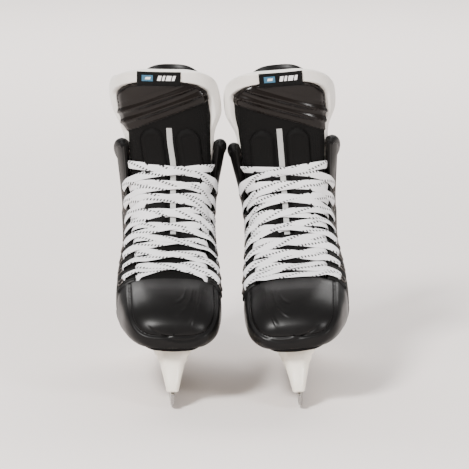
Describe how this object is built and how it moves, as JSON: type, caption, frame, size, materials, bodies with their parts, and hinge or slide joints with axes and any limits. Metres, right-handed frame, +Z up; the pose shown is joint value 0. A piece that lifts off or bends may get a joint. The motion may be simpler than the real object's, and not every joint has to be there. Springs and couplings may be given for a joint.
{
  "type": "ice hockey skates",
  "caption": "Ice hockey skates: black moulded boots with white laces, felt-backed tongues, white blade holders and steel runners, standing side by side.",
  "frame": {"origin": "centre of the bottom of the pair's bounding box, on the floor under the runners", "axes": "+Z up, -Y towards the toes, +X towards the wearer's left; the wearer's right skate is at -X"},
  "size_m": [0.228, 0.2864, 0.3097],
  "materials": {
    "steel": "ground and polished stainless steel",
    "holder_white": "moulded off-white plastic, semi-gloss",
    "dark_metal": "darkened steel, satin",
    "cap_black": "moulded black plastic, satin",
    "quarter_black": "black composite with a fine texture",
    "lining_grey": "dark brushed lining over foam",
    "tongue_black": "black coated fabric over foam",
    "felt_white": "thick white felt",
    "silver": "silver-grey reflective tape",
    "lace_white": "flat woven white lace with black tracer"
  },
  "bodies": {
    "right_skate": {"right_runner": "steel", "right_holder": "holder_white", "right_trigger_pin": "steel", "right_outsole": "cap_black", "right_footbed": "lining_grey", "right_toe_cap": "cap_black", "right_lateral_quarter": "quarter_black", "right_medial_quarter": "quarter_black", "right_lateral_eyestay": "quarter_black", "right_medial_eyestay": "quarter_black", "right_ankle_liner": "lining_grey", "right_tongue_front": "tongue_black", "right_tongue_felt": "felt_white", "right_tongue_strip": "silver", "right_lace": "lace_white", "right_holder_rivet_1": "dark_metal", "right_holder_rivet_2": "dark_metal", "right_holder_rivet_3": "dark_metal", "right_holder_rivet_4": "dark_metal", "right_holder_rivet_5": "dark_metal", "right_holder_rivet_6": "dark_metal", "right_holder_rivet_7": "dark_metal", "right_holder_rivet_8": "dark_metal"},
    "right_tongue_flap": {"right_tongue_flap": "tongue_black", "right_tongue_flap_felt": "felt_white", "right_tongue_label": "tongue_black"},
    "right_tendon_guard": {"right_tendon_guard": "cap_black"},
    "right_trigger": {"right_trigger": "dark_metal"},
    "left_skate": {"left_runner": "steel", "left_holder": "holder_white", "left_trigger_pin": "steel", "left_outsole": "cap_black", "left_footbed": "lining_grey", "left_toe_cap": "cap_black", "left_lateral_quarter": "quarter_black", "left_medial_quarter": "quarter_black", "left_lateral_eyestay": "quarter_black", "left_medial_eyestay": "quarter_black", "left_ankle_liner": "lining_grey", "left_tongue_front": "tongue_black", "left_tongue_felt": "felt_white", "left_tongue_strip": "silver", "left_lace": "lace_white", "left_holder_rivet_1": "dark_metal", "left_holder_rivet_2": "dark_metal", "left_holder_rivet_3": "dark_metal", "left_holder_rivet_4": "dark_metal", "left_holder_rivet_5": "dark_metal", "left_holder_rivet_6": "dark_metal", "left_holder_rivet_7": "dark_metal", "left_holder_rivet_8": "dark_metal"},
    "left_tongue_flap": {"left_tongue_flap": "tongue_black", "left_tongue_flap_felt": "felt_white", "left_tongue_label": "tongue_black"},
    "left_tendon_guard": {"left_tendon_guard": "cap_black"},
    "left_trigger": {"left_trigger": "dark_metal"}
  },
  "joints": [
    {"name": "right_tongue_flex", "type": "hinge", "parent": "right_skate", "child": "right_tongue_flap", "pos_m": [-0.05604, -0.01392, 0.24963], "axis": [0.9985, 0.0523, -0.0174], "range_deg": [0, 55], "stiffness_Nm_per_rad": 0.5},
    {"name": "right_tendon_guard_flex", "type": "hinge", "parent": "right_skate", "child": "right_tendon_guard", "pos_m": [-0.06375, 0.12688, 0.23116], "axis": [0.9985, 0.0523, -0.0174], "range_deg": [-20, 0], "stiffness_Nm_per_rad": 1},
    {"name": "right_trigger_pull", "type": "hinge", "parent": "right_skate", "child": "right_trigger", "pos_m": [-0.06309, 0.05149, 0.04212], "axis": [0.9985, 0.0523, -0.0174], "range_deg": [-20, 0], "stiffness_Nm_per_rad": 0.3},
    {"name": "left_tongue_flex", "type": "hinge", "parent": "left_skate", "child": "left_tongue_flap", "pos_m": [0.0489, -0.01383, 0.24912], "axis": [0.9957, -0.0349, 0.0854], "range_deg": [0, 55], "stiffness_Nm_per_rad": 0.5},
    {"name": "left_tendon_guard_flex", "type": "hinge", "parent": "left_skate", "child": "left_tendon_guard", "pos_m": [0.05539, 0.12709, 0.231], "axis": [0.9957, -0.0349, 0.0854], "range_deg": [-20, 0], "stiffness_Nm_per_rad": 1},
    {"name": "left_trigger_pull", "type": "hinge", "parent": "left_skate", "child": "left_trigger", "pos_m": [0.06891, 0.05163, 0.04247], "axis": [0.9957, -0.0349, 0.0854], "range_deg": [-20, 0], "stiffness_Nm_per_rad": 0.3},
    {"name": "left_skate_apart", "type": "slide", "parent": "right_skate", "child": "left_skate", "axis": [1, 0, 0], "range_m": [0, 0.25]}
  ]
}
